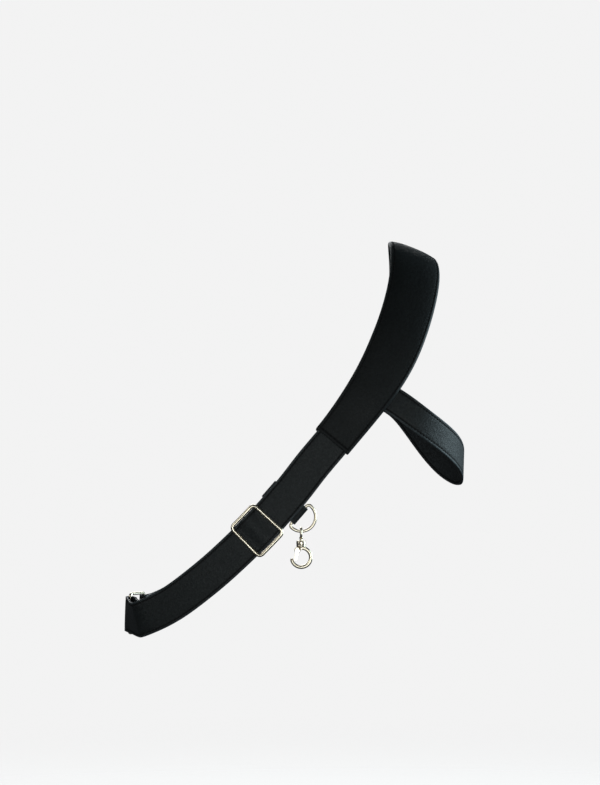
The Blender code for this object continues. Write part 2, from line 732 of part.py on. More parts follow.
def main():
    clear_scene()
    front_arc = Arc(FRONT_ARC, FRONT_ARC_FACING)
    back_arc = Arc(BACK_ARC, BACK_ARC_FACING)
    stations = FRONT_FOOT + list(front_arc.stations())
    stations += SHOULDER + list(back_arc.stations()) + BACK_FOOT
    loop = Guide(stations)
    pad_start = loop.nearest(np.array(SHOULDER[0][0]) * MM)
    pad_end = loop.nearest(np.array(SHOULDER[-1][0]) * MM)
    slider_at = loop.nearest(back_arc.middle)
    keeper_at = loop.nearest(front_arc.middle) + KEEPER_REST
    shoulder_pad(loop, pad_start, pad_end)
    main_strap(loop, pad_start, pad_end, slider_at)
    underarm_strap(loop, pad_start, pad_end)
    back_slider(loop, slider_at, back_arc)
    swivel_hook(*d_ring(*hook_keeper(loop, keeper_at, front_arc)))


main()
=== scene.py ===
"""A single-shoulder leather harness for a saxophone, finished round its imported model."""
import json
import math

import bmesh
import bpy
import numpy as np
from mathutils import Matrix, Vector


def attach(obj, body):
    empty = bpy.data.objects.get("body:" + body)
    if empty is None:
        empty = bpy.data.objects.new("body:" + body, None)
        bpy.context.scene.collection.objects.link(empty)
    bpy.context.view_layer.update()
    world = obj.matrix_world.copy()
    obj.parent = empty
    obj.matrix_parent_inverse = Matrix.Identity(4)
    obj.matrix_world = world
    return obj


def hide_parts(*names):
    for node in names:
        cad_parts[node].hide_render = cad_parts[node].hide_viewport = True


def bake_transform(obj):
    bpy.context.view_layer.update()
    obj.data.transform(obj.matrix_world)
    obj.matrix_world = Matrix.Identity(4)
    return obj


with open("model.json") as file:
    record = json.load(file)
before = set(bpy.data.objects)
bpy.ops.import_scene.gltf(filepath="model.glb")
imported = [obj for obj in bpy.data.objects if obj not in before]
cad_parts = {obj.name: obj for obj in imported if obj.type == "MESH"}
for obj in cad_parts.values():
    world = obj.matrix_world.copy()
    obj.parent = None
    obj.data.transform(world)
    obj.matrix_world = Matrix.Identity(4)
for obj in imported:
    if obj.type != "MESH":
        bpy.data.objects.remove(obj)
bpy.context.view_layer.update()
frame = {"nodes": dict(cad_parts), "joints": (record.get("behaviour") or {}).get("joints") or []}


# Studio.  A pale world that the lens sees, a dimmer one that lights the leather, four soft
# boxes, and a floor far below that fades out at its rim and throws no light on the leather.
LENS = 127.4
EYE = (-0.1035, -2.6, -0.129)
FLOOR_LEVEL = -0.72
FLOOR_RADIUS = 3.0
PALE = 0.895


class Channel:
    """A node's output, so that shader maths on values is written as arithmetic."""

    def __init__(self, finish, socket):
        self.finish = finish
        self.socket = socket

    def maths(self, operation, *others):
        values = dict(enumerate((self, *others)))
        return self.finish.add("Math", {"operation": operation}, values)

    def __add__(self, other):
        return self.maths("ADD", other)

    def __sub__(self, other):
        return self.maths("SUBTRACT", other)

    def __rsub__(self, other):
        return self.maths("MULTIPLY_ADD", -1.0, other)

    def __mul__(self, other):
        return self.maths("MULTIPLY", other)

    __radd__ = __add__
    __rmul__ = __mul__


class Finish:
    """A surface finish: its material, its shader, and one method that adds any node."""

    def __init__(self, name, constants):
        self.material = bpy.data.materials.new(name)
        self.material.use_nodes = True
        self.tree = self.material.node_tree
        self.shader = self.tree.nodes["Principled BSDF"]
        for socket, value in constants.items():
            self.shader.inputs[socket].default_value = value

    def add(self, kind, settings, values, output=0):
        node = self.tree.nodes.new("ShaderNode" + kind)
        for setting, value in settings.items():
            setattr(node, setting, value)
        for key, value in values.items():
            if isinstance(value, Channel):
                self.tree.links.new(value.socket, node.inputs[key])
            else:
                node.inputs[key].default_value = value
        return Channel(self, node.outputs[output])

    def mix(self, share, first, second):
        """A colour between two colours; either may come from another node."""
        colours = [c if isinstance(c, Channel) else (*c, 1.0) for c in (first, second)]
        return self.add("Mix", {"data_type": "RGBA"}, {0: share, 6: colours[0], 7: colours[1]}, 2)

    def scaled(self, place, factors):
        return self.add("VectorMath", {"operation": "MULTIPLY"}, {0: place, 1: factors})

    def noise(self, place, scale, detail=2.0):
        """Smooth noise of one value, from 0 to 1."""
        values = {"Vector": place, "Scale": scale, "Detail": detail}
        return self.add("TexNoise", {}, values)

    def step(self, value, low, high):
        """0 below low, 1 above high, and a smooth rise between them."""
        values = {0: value, 1: low, 2: high}
        return self.add("MapRange", {"interpolation_type": "SMOOTHSTEP"}, values)

    def bump(self, height, strength, distance):
        return self.add("Bump", {}, {"Strength": strength, "Distance": distance, "Height": height})

    def wear(self, colour=None, roughness=None, normal=None):
        """Link what changes over the surface to the shader."""
        for socket, value in (("Base Color", colour), ("Roughness", roughness), ("Normal", normal)):
            if value is not None:
                self.tree.links.new(value.socket, self.shader.inputs[socket])


camera_data = bpy.data.cameras.new("camera")
camera_data.lens = LENS
camera = bpy.data.objects.new("camera", camera_data)
camera.location = EYE
camera.rotation_euler = (math.pi / 2, 0.0, 0.0)
bpy.context.scene.collection.objects.link(camera)
bpy.context.scene.camera = camera

bpy.context.scene.view_settings.view_transform = "Standard"
world = bpy.data.worlds.new("studio")
world.use_nodes = True
bpy.context.scene.world = world
sky = world.node_tree
seen, lighting = sky.nodes["Background"], sky.nodes.new("ShaderNodeBackground")
seen.inputs["Color"].default_value = (PALE, PALE, PALE, 1.0)
lighting.inputs["Color"].default_value = (0.80, 0.90, 1.0, 1.0)
lighting.inputs["Strength"].default_value = 0.05
chooser = sky.nodes.new("ShaderNodeMixShader")
sky.links.new(sky.nodes.new("ShaderNodeLightPath").outputs["Is Camera Ray"], chooser.inputs[0])
sky.links.new(lighting.outputs[0], chooser.inputs[1])
sky.links.new(seen.outputs[0], chooser.inputs[2])
sky.links.new(chooser.outputs[0], sky.nodes["World Output"].inputs["Surface"])


def soft_box(name, place, aim, size, power, colour):
    light = bpy.data.lights.new(name, "AREA")
    light.shape = "RECTANGLE"
    light.size, light.size_y = size
    light.energy = power
    light.color = colour
    lamp = bpy.data.objects.new(name, light)
    lamp.location = place
    lamp.rotation_euler = (Vector(aim) - Vector(place)).to_track_quat("-Z", "Y").to_euler()
    bpy.context.scene.collection.objects.link(lamp)


MIDDLE = (-0.11, 0.0, -0.17)
soft_box("key", (0.2, -2.3, -0.5), MIDDLE, (1.1, 1.1), 19.0, (0.93, 1.0, 1.0))
soft_box("left_side", (-2.0, -0.9, 0.5), MIDDLE, (0.5, 1.6), 9.0, (0.98, 1.0, 0.98))
soft_box("right_side", (1.9, 0.4, 0.1), MIDDLE, (1.0, 1.6), 52.0, (0.72, 0.92, 1.0))
soft_box("front_fill", (-0.4, 2.0, 0.9), MIDDLE, (1.4, 1.0), 22.0, (0.95, 0.99, 1.0))

floor_mesh = bpy.data.meshes.new("floor")
rim = [math.tau * i / 96 for i in range(96)]
floor_mesh.from_pydata([(FLOOR_RADIUS * math.cos(a), FLOOR_RADIUS * math.sin(a), FLOOR_LEVEL)
                        for a in rim], [], [list(range(96))])
floor = bpy.data.objects.new("floor", floor_mesh)
bpy.context.scene.collection.objects.link(floor)
pale_floor = Finish("pale_floor", {"Roughness": 0.9, "Specular IOR Level": 0.1,
                                   "Emission Color": (1.0, 1.0, 1.0, 1.0),
                                   "Emission Strength": 0.62})
spot = pale_floor.add("TexCoord", {}, {}, "Object")
distance = pale_floor.add("VectorMath", {"operation": "LENGTH"}, {0: spot}, "Value")
mottle = pale_floor.noise(spot, 3.0)
pale_floor.wear(pale_floor.mix(mottle * 0.3, (0.56, 0.55, 0.54), (0.53, 0.52, 0.51)))
fade = 1.0 - pale_floor.step(distance, 0.9, 2.6)
pale_floor.tree.links.new(fade.socket, pale_floor.shader.inputs["Alpha"])
floor_mesh.materials.append(pale_floor.material)
floor.visible_diffuse = False
floor.visible_glossy = False


# Shoulder pad.  A crowned leather cover over thin foam, turned in along both edges and
# lined with brushed leather; one row of black thread follows the whole outline.
MM = 0.001
STRAP_TOP = 1.15 * MM
PAD_WIDTH = 47 * MM
PAD_END_WIDTH = 37.5 * MM
PAD_TAPER = 115 * MM
PAD_TUCK = 18 * MM
PAD_BASE = -1.3 * MM
PAD_THICKNESS_AT_END = 3.9 * MM
PAD_SWELL = 1.75 * MM
SEAM_IN = 3.0 * MM
END_SEAM_IN = 3.8 * MM

# Where the strap's middle layer runs, and which way its face looks, in mm, from
# the hip ring up the chest, over the shoulder and down the back to the ring again.
FRONT_FOOT = [
    ((-255.5, 55.0, -338.5), (-0.88, 0.46, -0.12)),
    ((-245.0, 67.0, -338.0), (-0.62, 0.77, -0.16)),
    ((-227.0, 77.0, -331.0), (-0.40, 0.90, -0.16)),
]
FRONT_ARC = [(-203.0, 85.0, -315.0), (-146.0, 94.0, -262.0), (-95.0, 94.5, -203.0)]
SHOULDER = [
    ((-74.0, 93.0, -177.0), (-0.03, 1.0, 0.03)),
    ((-47.5, 91.0, -144.0), (0.0, 0.99, 0.10)),
    ((-21.5, 86.0, -105.0), (0.05, 0.97, 0.20)),
    ((-6.5, 76.0, -70.0), (0.08, 0.94, 0.32)),
    ((1.0, 64.0, -45.5), (0.12, 0.89, 0.44)),
    ((4.5, 47.0, -22.5), (0.20, 0.78, 0.60)),
    ((3.0, 26.0, -5.5), (0.30, 0.50, 0.80)),
    ((1.0, 0.0, 2.3), (0.37, 0.0, 0.93)),
    ((2.5, -26.0, -6.0), (0.30, -0.50, 0.80)),
    ((1.5, -46.0, -25.5), (0.17, -0.78, 0.60)),
    ((-4.0, -62.0, -50.0), (0.12, -0.89, 0.42)),
    ((-12.0, -75.0, -74.0), (0.08, -0.95, 0.30)),
    ((-27.5, -86.5, -107.5), (0.05, -0.98, 0.18)),
    ((-51.0, -94.0, -143.0), (0.0, -1.0, 0.09)),
    ((-75.0, -97.0, -173.5), (-0.02, -1.0, 0.03)),
]
BACK_ARC = [(-95.0, -98.5, -197.5), (-142.0, -98.5, -253.0), (-197.0, -89.0, -303.5)]
BACK_FOOT = [
    ((-220.0, -82.0, -320.5), (-0.26, -0.95, -0.14)),
    ((-236.0, -76.5, -329.5), (-0.36, -0.91, -0.20)),
    ((-246.5, -72.0, -334.3), (-0.50, -0.83, -0.24)),
    ((-251.2, -66.8, -336.3), (-0.80, -0.54, -0.27)),
    ((-253.3, -58.5, -337.1), (-0.93, -0.26, -0.25)),
    ((-256.0, -40.0, -338.0), (-0.95, -0.10, -0.22)),
    ((-260.5, -10.0, -338.5), (-0.97, 0.10, -0.14)),
    ((-268.0, 31.0, -338.5), (-0.97, 0.20, -0.08)),
]
joints = {joint["name"]: joint for joint in frame["joints"]}


def unit(vector):
    vector = np.asarray(vector, float)
    return vector / np.linalg.norm(vector, axis=-1, keepdims=True)


def smooth_step(amount):
    amount = np.clip(amount, 0.0, 1.0)
    return amount * amount * (3.0 - 2.0 * amount)


def turn(vector, axis, angle):
    along = axis * (axis @ vector)
    return along + (vector - along) * math.cos(angle) + np.cross(axis, vector) * math.sin(angle)


def arc_stations(points, facing, joint, count=9):
    """Stations round the circle on which the joint's piece slides, through three points."""
    centre = np.array(joint["pos_m"])
    axis = unit(joint["axis"])
    first, middle, last = (np.array(point) * MM - centre for point in points)
    start = -math.acos(unit(first) @ unit(middle))
    end = math.acos(unit(last) @ unit(middle))
    for angle in np.linspace(start, end, count):
        place = centre + turn(middle, axis, angle)
        yield tuple(place / MM), tuple(turn(unit(facing), axis, angle))


def curve_through(knots, values):
    """A natural cubic spline through the values at the knots, as a function."""
    knots, values = np.asarray(knots, float), np.asarray(values, float)
    last = len(knots) - 1
    gaps = np.diff(knots)
    matrix = np.eye(last + 1)
    right_side = np.zeros(values.shape)
    for i in range(1, last):
        matrix[i, i - 1:i + 2] = gaps[i - 1], 2.0 * (gaps[i - 1] + gaps[i]), gaps[i]
        rise = (values[i + 1] - values[i]) / gaps[i] - (values[i] - values[i - 1]) / gaps[i - 1]
        right_side[i] = 6.0 * rise
    bend = np.linalg.solve(matrix, right_side)

    def at(where):
        i = np.clip(np.searchsorted(knots, where) - 1, 0, last - 1)
        gap = gaps[i][:, None]
        after = (where - knots[i])[:, None]
        before = gap - after
        curved = (bend[i] * before ** 3 + bend[i + 1] * after ** 3) / (6.0 * gap)
        start = (values[i] / gap - bend[i] * gap / 6.0) * before
        return curved + start + (values[i + 1] / gap - bend[i + 1] * gap / 6.0) * after

    return at


class Route:
    """The way a strap runs, with the directions along, across and out of it."""

    def __init__(self, stations):
        points = np.array([place for place, _ in stations]) * MM
        steps = np.linalg.norm(np.diff(points, axis=0), axis=1)
        knots = np.concatenate([[0.0], np.cumsum(steps)])
        fine = np.linspace(0.0, knots[-1], 4000)
        self.places = curve_through(knots, points)(fine)
        self.facings = unit(curve_through(knots, unit([way for _, way in stations]))(fine))
        steps = np.linalg.norm(np.diff(self.places, axis=0), axis=1)
        self.lengths = np.concatenate([[0.0], np.cumsum(steps)])
        self.length = self.lengths[-1]
        self.tangents = unit(np.gradient(self.places, axis=0))

    def read(self, table, along):
        return np.array([np.interp(along, self.lengths, table[:, i]) for i in range(3)]).T

    def frames(self, along):
        along = np.atleast_1d(along)
        clipped = np.clip(along, 0.0, self.length)
        tangent = unit(self.read(self.tangents, clipped))
        place = self.read(self.places, clipped) + tangent * (along - clipped)[:, None]
        across = unit(np.cross(self.read(self.facings, clipped), tangent))
        return place, tangent, across, np.cross(tangent, across)

    def frame(self, along):
        return [item[0] for item in self.frames(along)]

    def nearest(self, point):
        distances = np.linalg.norm(self.places - np.asarray(point) * MM, axis=1)
        return self.lengths[int(np.argmin(distances))]

    def square_ends(self, ease):
        """Turn both ends until they lie across one common line, and give that line."""
        common = unit(np.cross(self.tangents[0], self.tangents[-1]))
        if common @ np.cross(self.facings[0], self.tangents[0]) < 0.0:
            common = -common
        from_end = np.minimum(self.lengths, self.length - self.lengths)
        share = smooth_step(1.0 - from_end / ease)[:, None]
        squared = np.cross(self.tangents, common)
        self.facings = unit(self.facings * (1.0 - share) + squared * share)
        return common


def skin(name, rings, finish, edge=None, closed=False, sharp=50, along=None):
    """A closed form through rows of equally many points, laid with leather coordinates.

    The "lay" attribute holds each point's place along and round the form, in metres,
    and "edge" how near it is to a cut edge, from 0 to 1, where the leather is lightened partly as a
    painted highlight; below 0 it marks a sewn groove painted dark as shade.
    """
    rings = np.asarray(rings, float)
    rows, count = rings.shape[:2]
    mesh = bpy.data.meshes.new(name)
    faces = []
    for i in range(rows if closed else rows - 1):
        a, b = i * count, (i + 1) % rows * count
        faces += [(a + j, a + (j + 1) % count, b + (j + 1) % count, b + j) for j in range(count)]
    if not closed:
        faces += [tuple(range(count))[::-1], tuple(range((rows - 1) * count, rows * count))]
    mesh.from_pydata(rings.reshape(-1, 3).tolist(), [], faces)
    if along is None:
        steps = np.linalg.norm(np.diff(rings.mean(axis=1), axis=0), axis=1)
        along = np.concatenate([[0.0], np.cumsum(steps)])
    steps = np.linalg.norm(np.diff(rings, axis=1), axis=2)
    round_it = np.concatenate([np.zeros((rows, 1)), np.cumsum(steps, axis=1)], axis=1)
    lay = np.stack([np.repeat(along, count).reshape(rows, count), round_it, 0 * round_it], axis=2)
    mesh.attributes.new("lay", "FLOAT_VECTOR", "POINT").data.foreach_set("vector", lay.ravel())
    if edge is not None:
        wear = np.broadcast_to(edge, (rows, count)).ravel()
        mesh.attributes.new("edge", "FLOAT", "POINT").data.foreach_set("value", wear)
    return as_piece(name, mesh, finish, sharp)


def as_piece(name, mesh, finish, sharp=50):
    shell = bmesh.new()
    shell.from_mesh(mesh)
    bmesh.ops.recalc_face_normals(shell, faces=shell.faces)
    shell.to_mesh(mesh)
    shell.free()
    mesh.shade_smooth()
    mesh.set_sharp_from_angle(angle=math.radians(sharp))
    mesh.materials.append(finish.material)
    piece = bpy.data.objects.new(name, mesh)
    bpy.context.scene.collection.objects.link(piece)
    return piece


def leather(name, colour, worn_and_sheen, grain, depth, roughness, specular):
    """Grained leather: pebbles, fine pores, soft creases across, and worn, burnished edges that are
    lightened partly as a painted highlight; the sewn grooves and the crevices between pebbles are
    painted dark as shade.
    """
    finish = Finish(name, {"Specular IOR Level": specular})
    lay = finish.add("Attribute", {"attribute_name": "lay"}, {}, "Vector")
    edge = finish.add("Attribute", {"attribute_name": "edge"}, {}, "Fac")
    ripple = finish.add("TexNoise", {}, {"Vector": lay, "Scale": 260.0, "Detail": 1.0}, "Color")
    bent = finish.add("VectorMath", {"operation": "MULTIPLY_ADD"},
                      {0: ripple, 1: (0.0016, 0.0016, 0.0), 2: lay})
    cells = finish.add("TexVoronoi", {"feature": "DISTANCE_TO_EDGE"},
                       {"Vector": bent, "Scale": grain}, "Distance")
    pebble = finish.step(cells, 0.0, 0.22)
    pores = finish.noise(lay, 2600.0, 1.0)
    creases = finish.noise(finish.scaled(lay, (150.0, 38.0, 1.0)), 1.0, 2.0)
    mottle = finish.step(finish.noise(lay, 330.0, 2.0), 0.35, 0.68)
    cloud = finish.noise(finish.scaled(lay, (26.0, 60.0, 1.0)), 1.0, 3.0)
    height = pebble * 0.55 + pores * 0.25 + creases * 0.9 + mottle * 0.8
    tone = finish.mix(cloud * 0.5 + mottle * 0.4, tuple(0.55 * part for part in colour),
                      tuple(1.9 * part for part in colour))
    # Painted shade: the crevices between the pebbles are darkened.
    tone = finish.mix((1.0 - pebble) * 0.5, tone, tuple(0.35 * part for part in colour))
    # Rubbed edges are lightened, partly real wear and partly a painted highlight; sewn grooves are
    # painted nearly black as painted shade.
    rubbed_and_sheen = edge.maths("MAXIMUM", 0.0)
    painted_seam_shade = (edge * -1.0).maths("MAXIMUM", 0.0)
    tone = finish.mix(rubbed_and_sheen * (cloud * 0.5 + 0.35), tone, worn_and_sheen)
    tone = finish.mix(painted_seam_shade * 0.85, tone, (0.0015, 0.0015, 0.0018))
    rough = roughness + cloud * 0.14 + (1.0 - pebble) * 0.10 - rubbed_and_sheen * 0.10 + painted_seam_shade * 0.2
    finish.wear(tone, rough, finish.bump(height, depth, 0.0005))
    return finish


# Its colour is set darker than the strap leather's: this darkness is partly painted shade on the pad.
pad_leather = leather("pad_leather", (0.0040, 0.0056, 0.0058), (0.026, 0.031, 0.034),
                      760.0, 0.26, 0.50, 0.26)
lining_suede = leather("lining_suede", (0.021, 0.024, 0.026), (0.034, 0.037, 0.040),
                       1500.0, 0.45, 0.78, 0.15)
thread = Finish("black_thread", {"Specular IOR Level": 0.15})
spun = thread.add("TexCoord", {}, {}, "Object")
twist = thread.add("TexWave", {"bands_direction": "DIAGONAL"},
                   {"Vector": spun, "Scale": 900.0, "Distortion": 1.5}, "Fac")
thread.wear(thread.mix(twist, (0.0015, 0.0015, 0.002), (0.005, 0.006, 0.006)),
            twist * 0.2 + 0.65, thread.bump(twist, 0.4, 0.0001))


def stitches(name, line, out, pitch=3.4 * MM, length=2.5 * MM, radius=0.28 * MM, slant=8.0):
    """A row of sewn stitches along a line, each dipping into the leather at both ends."""
    line, out = np.asarray(line), np.asarray(out)
    steps = np.linalg.norm(np.diff(line, axis=0), axis=1)
    lengths = np.concatenate([[0.0], np.cumsum(steps)])
    count = max(2, int(lengths[-1] / pitch))
    middles = (np.arange(count) + 0.5) * lengths[-1] / count

    def read(table, where):
        return np.array([np.interp(where, lengths, table[:, i]) for i in range(3)]).T

    way = unit(read(line, middles + 0.4 * MM) - read(line, middles - 0.4 * MM))
    up = unit(read(out, middles))
    side = unit(np.cross(up, way))
    way = way * math.cos(math.radians(slant)) + side * math.sin(math.radians(slant))
    side = np.cross(up, way)
    angles = np.arange(6) * math.tau / 6
    places = []
    for reach, thick, lift in ((-1, 0.4, -0.7), (-0.62, 0.92, 0.15), (0, 1.0, 0.4),
                               (0.62, 0.92, 0.15), (1, 0.4, -0.7)):
        middle = read(line, middles) + way * reach * length / 2 + up * lift * radius
        ring = [middle + radius * thick * (side * math.cos(a) + up * math.sin(a)) for a in angles]
        places.append(np.stack(ring, axis=1))
    places = np.stack(places, axis=1).reshape(-1, 3)
    one = [(r * 6 + j, r * 6 + (j + 1) % 6, r * 6 + 6 + (j + 1) % 6, r * 6 + 6 + j)
           for r in range(4) for j in range(6)]
    one += [tuple(range(6))[::-1], tuple(range(24, 30))]
    faces = [tuple(corner + 30 * k for corner in face) for k in range(count) for face in one]
    mesh = bpy.data.meshes.new(name)
    mesh.from_pydata(places.tolist(), [], faces)
    return as_piece(name, mesh, thread)


def join(name, pieces):
    """Make one piece of several that share a finish."""
    bpy.ops.object.select_all(action="DESELECT")
    for piece in pieces:
        piece.select_set(True)
    bpy.context.view_layer.objects.active = pieces[0]
    bpy.ops.object.join()
    pieces[0].name = name
    return pieces[0]


def spread(start, end, step):
    return np.linspace(start, end, max(2, int(abs(end - start) / step) + 1))


stations = FRONT_FOOT + list(arc_stations(FRONT_ARC, (-0.06, 0.99, -0.02),
                                          joints["hook_keeper_travel"]))
stations += SHOULDER + list(arc_stations(BACK_ARC, (-0.08, -1.0, -0.04),
                                         joints["back_slider_travel"])) + BACK_FOOT
loop = Route(stations)
pad_start = loop.nearest(SHOULDER[0][0])
pad_end = loop.nearest(SHOULDER[-1][0])
slider_at = loop.nearest(BACK_ARC[1])
keeper_at = loop.nearest(FRONT_ARC[1]) + 38 * MM
ring_line = loop.square_ends(30 * MM)


def pad_width(from_end):
    return PAD_END_WIDTH + (PAD_WIDTH - PAD_END_WIDTH) * smooth_step(from_end / PAD_TAPER)


def pad_height(from_edge, half, from_end):
    """Height of the cover over the strap's middle: a low dome with a sewn groove round it."""
    swell = smooth_step((from_end - 12 * MM) / (45 * MM))
    peak = PAD_BASE + PAD_THICKNESS_AT_END + PAD_SWELL * swell
    shoulder_height = 1.7 * MM
    share = 1.0 - (1.0 - np.clip(from_edge / half, 0.0, 1.0)) ** 2.6
    height = shoulder_height + (peak - shoulder_height) * share
    inside = smooth_step((from_end - END_SEAM_IN + 0.6 * MM) / MM)
    groove = 0.32 * MM * np.exp(-((from_edge - SEAM_IN) / (0.5 * MM)) ** 2) * inside
    across = smooth_step((from_edge - SEAM_IN + 0.6 * MM) / MM)
    groove += 0.36 * MM * np.exp(-((from_end - END_SEAM_IN) / (0.6 * MM)) ** 2) * across
    return height - groove


pad_length = pad_end - pad_start
near_end = np.array([0.0, 0.15, 0.4, 0.8, 1.3, 2.0, 2.8, 3.3, 3.8, 4.3, 4.8, 5.8]) * MM
pad_rows = np.concatenate([near_end, spread(8 * MM, pad_length - 8 * MM, 3.5 * MM),
                           (pad_length - near_end)[::-1]])
RIM = [(0.5, -1.28), (0.14, -0.95), (0.0, -0.3), (0.06, 0.4), (0.34, 1.02), (0.85, 1.46)]
TOP_FROM_EDGE = np.array([1.6, 2.1, 2.5, 2.8, 3.0, 3.2, 3.5, 3.9, 4.6, 6.0, 8.5, 12.0, 16.0]) * MM
place, _, across, out = loop.frames(pad_start + pad_rows)
# Edge values for the cover: the rubbed rim and rolled ends get positive values, which lighten them
# partly as a painted highlight; the sewn grooves get negative ones, painted dark as shade.
side_seams = np.exp(-((TOP_FROM_EDGE - SEAM_IN) / (0.6 * MM)) ** 2)
rubbed_and_sheen = 0.6 * np.clip(1.0 - TOP_FROM_EDGE / (2.4 * MM), 0.0, 1.0)
pad_rings = []
pad_wear_sheen_and_shade = []
for i, row in enumerate(pad_rows):
    from_end = min(row, pad_length - row)
    roll = math.sqrt(max(0.02, 1.0 - max(0.0, 1.0 - from_end / (1.3 * MM)) ** 2))
    half = pad_width(from_end) / 2 - 0.8 * MM * (1.0 - roll)
    crease = 0.10 * MM * math.sin(row / (7.3 * MM)) * math.sin(row / (31 * MM))
    end_seam = math.exp(-((from_end - END_SEAM_IN) / (0.8 * MM)) ** 2)
    right = [(half - e * MM, h * MM, 0.8) for e, h in RIM]
    right += [(half - e, pad_height(e, half, from_end) + crease * min(1.0, e / (9 * MM)), wear)
              for e, wear in zip(TOP_FROM_EDGE, rubbed_and_sheen - np.maximum(side_seams, end_seam))]
    section = right + [(0.0, pad_height(half, half, from_end) + crease, -end_seam)]
    section += [(-v, h, wear) for v, h, wear in right[::-1]]
    pad_rings.append([place[i] + across[i] * v + out[i] * (PAD_BASE + (h - PAD_BASE) * roll)
                      for v, h, _ in section])
    pad_wear_sheen_and_shade.append([wear + 0.8 * (1.0 - roll) for _, _, wear in section])
pad_cover = skin("pad_cover_leather", pad_rings, pad_leather, pad_wear_sheen_and_shade, along=pad_rows)
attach(pad_cover, "harness")
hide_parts("shoulder_pad_cover", "shoulder_pad_foam")

LINING_RIM = [(1.2, -1.34), (0.75, -1.40), (0.55, -1.75), (0.7, -2.2), (1.15, -2.42),
              (2.5, -2.45), (3.0, -2.33), (3.5, -2.45), (8.0, -2.40)]
lining_rings = []
for i, row in enumerate(pad_rows):
    from_end = min(row, pad_length - row)
    half = pad_width(from_end) / 2
    roll = math.sqrt(max(0.02, 1.0 - max(0.0, 1.0 - from_end / (1.0 * MM)) ** 2))
    right = [(half - e * MM, (-1.34 + (h + 1.34) * roll) * MM) for e, h in LINING_RIM]
    section = right + [(-v, h) for v, h in right[::-1]]
    lining_rings.append([place[i] + across[i] * v + out[i] * h for v, h in section])
pad_lining = skin("pad_lining_suede", lining_rings, lining_suede, along=pad_rows)
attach(pad_lining, "harness")
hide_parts("shoulder_pad_lining")

sewn = pad_start + spread(END_SEAM_IN, pad_length - END_SEAM_IN, 3 * MM)
place, _, across, out = loop.frames(sewn)
from_end = np.minimum(sewn - pad_start, pad_end - sewn)
half = pad_width(from_end) / 2
rows = []
for side in (-1, 1):
    top = pad_height(SEAM_IN, half, from_end) + 0.12 * MM
    edge_line = place + across * (side * (half - SEAM_IN))[:, None]
    rows.append(stitches("row", edge_line + out * top[:, None], out))
    rows.append(stitches("row", edge_line - out * 2.36 * MM, -out))
for where in (END_SEAM_IN, pad_length - END_SEAM_IN):
    spot, _, side, up = loop.frame(pad_start + where)
    reach = pad_width(END_SEAM_IN) / 2 - SEAM_IN
    v = np.linspace(-reach, reach, 16)
    top = pad_height(reach + SEAM_IN - abs(v), reach + SEAM_IN, END_SEAM_IN) + 0.16 * MM
    rows.append(stitches("row", spot + side * v[:, None] + up * top[:, None],
                         np.broadcast_to(up, (16, 3)), 4.5 * MM, 3.0 * MM, 0.42 * MM, 0.0))
    rows.append(stitches("row", spot + side * v[:, None] - up * 2.36 * MM,
                         np.broadcast_to(-up, (16, 3)), 4.5 * MM, 3.0 * MM, 0.35 * MM, 0.0))
pad_stitches = join("pad_stitches", rows)
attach(pad_stitches, "harness")


# Back strap.  Two strips of leather, sewn back to back along both edges, go from the pad
# down the back and round the hip ring; the tail comes back inside to the slider's bar.
STRAP_WIDTH = 33 * MM
WIRE_RADIUS = 1.4 * MM
GAP = 0.3 * MM
FOLD_RADIUS = WIRE_RADIUS + 2 * GAP + STRAP_TOP
RETURN_LENGTH = 24 * MM
TAIL_DEPTH = 7.5 * MM
LAP = 26 * MM
BAR_DEPTH = 3.75 * MM
BAR_RADIUS = 1.0 * MM
THIN = 0.9 * MM
HELD_FROM_SLIDER = 125 * MM

# Its second colour, a light teal grey, lightens the rubbed edges: partly wear, partly a painted
# highlight.
strap_leather = leather("strap_leather", (0.0066, 0.0092, 0.0097), (0.036, 0.048, 0.055),
                        900.0, 0.32, 0.46, 0.34)


def outline(width, crown):
    """Half a strap's section from the middle out: a round edge, a sewn groove, a low crown."""
    # The third value lightens the round edge, partly as a painted highlight, and where it is negative
    # it paints the sewn groove dark as shade.
    edge = [(0.30, 0.02, 1.0), (0.08, 0.10, 1.0), (0.0, 0.35, 1.0), (0.03, 0.70, 1.0),
            (0.18, 0.98, 0.9), (0.50, 1.12, 0.8), (1.0, 1.17, 0.6), (1.6, 1.16, 0.3),
            (2.0, 1.08, -0.5), (2.3, 0.94, -1.0), (2.6, 0.88, -1.0), (2.9, 0.94, -1.0),
            (3.25, 1.10, -0.5), (3.8, 1.19, 0.0)]
    right = [(width / 2 - e * MM, h * MM, wear) for e, h, wear in edge]
    right += [(width / 2 * share, (1.18 * MM) + crown * (1.0 - share ** 2), 0.0)
              for share in (0.62, 0.4, 0.2)]
    return np.array(right + [(0.0, 1.18 * MM + crown, 0.0)]
                    + [(-v, h, wear) for v, h, wear in right[::-1]])


def ways(path):
    """Direction at each point, halfway between its two neighbouring stretches."""
    stretches = unit(np.diff(path, axis=0))
    return unit(np.vstack([stretches[:1], stretches[1:] + stretches[:-1], stretches[-1:]]))


def strap(name, places, across, width, finish, side, thickness=1.0, crown=0.14 * MM):
    """One strip of a strap: side 1 is its face and -1 its lining; edges wander a little."""
    along = np.concatenate([[0.0], np.cumsum(np.linalg.norm(np.diff(places, axis=0), axis=1))])
    out = unit(np.cross(ways(places), across))
    section = outline(width, crown)
    wander = 0.12 * MM * (np.sin(along / (23 * MM)) + 0.7 * np.sin(along / (8.7 * MM) + width))
    thickness = np.broadcast_to(thickness, along.shape)
    heights = side * section[:, 1] * thickness[:, None]
    v = section[:, 0] + wander[:, None] * np.abs(section[:, 0]) / width
    rings = places[:, None] + across[:, None] * v[:, :, None] + out[:, None] * heights[:, :, None]
    return skin(name, rings, finish, section[:, 2], along=along)


